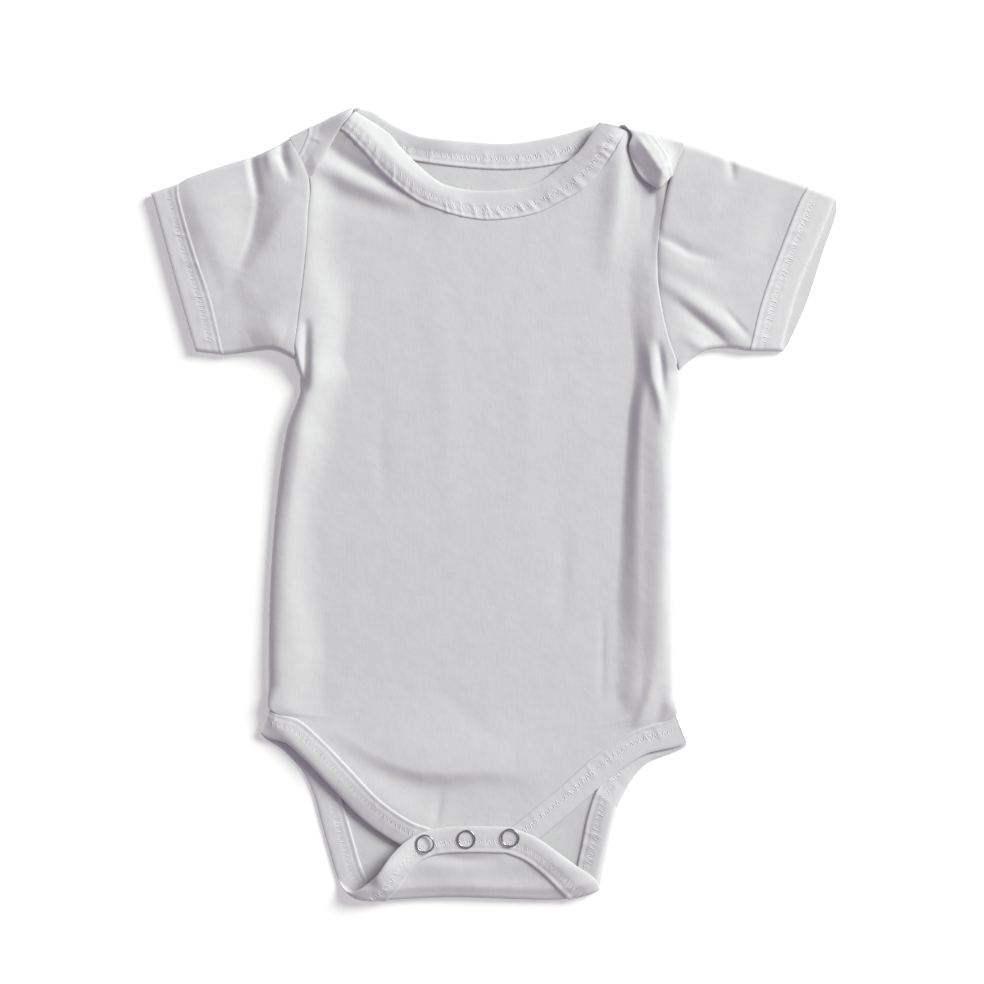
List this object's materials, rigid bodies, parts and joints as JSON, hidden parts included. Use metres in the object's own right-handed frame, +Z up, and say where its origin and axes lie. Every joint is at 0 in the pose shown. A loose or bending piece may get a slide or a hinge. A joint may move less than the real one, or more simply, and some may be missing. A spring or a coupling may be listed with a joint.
{
  "type": "baby onesie",
  "caption": "Short-sleeved baby onesie in plain jersey, envelope neck, banded edges and a snap crotch flap, laid flat front side up.",
  "frame": {"origin": "centre of the laid garment's box on the surface it rests on", "axes": "+X to the viewer's right as seen from the front, +Y towards the neck, +Z up off the surface, out of the front"},
  "size_m": [0.349, 0.4042, 0.0081],
  "materials": {
    "jersey": "white single jersey knit, matt, fine vertical wales",
    "band": "white doubled jersey band, matt, coverstitched",
    "snap_metal": "bright nickel-plated open-ring snap"
  },
  "bodies": {
    "root": {"back_panel": "jersey", "front_panel": "jersey", "sleeve_left": "jersey", "sleeve_right": "jersey", "cuff_left": "band", "cuff_right": "band", "neckband_front": "band", "neckband_back": "band", "leg_binding_front": "band", "leg_binding_back": "band", "snap_ring_1": "snap_metal", "snap_socket_1": "snap_metal", "snap_stud_1": "snap_metal", "snap_ring_2": "snap_metal", "snap_socket_2": "snap_metal", "snap_stud_2": "snap_metal", "snap_ring_3": "snap_metal", "snap_socket_3": "snap_metal", "snap_stud_3": "snap_metal"}
  },
  "joints": []
}
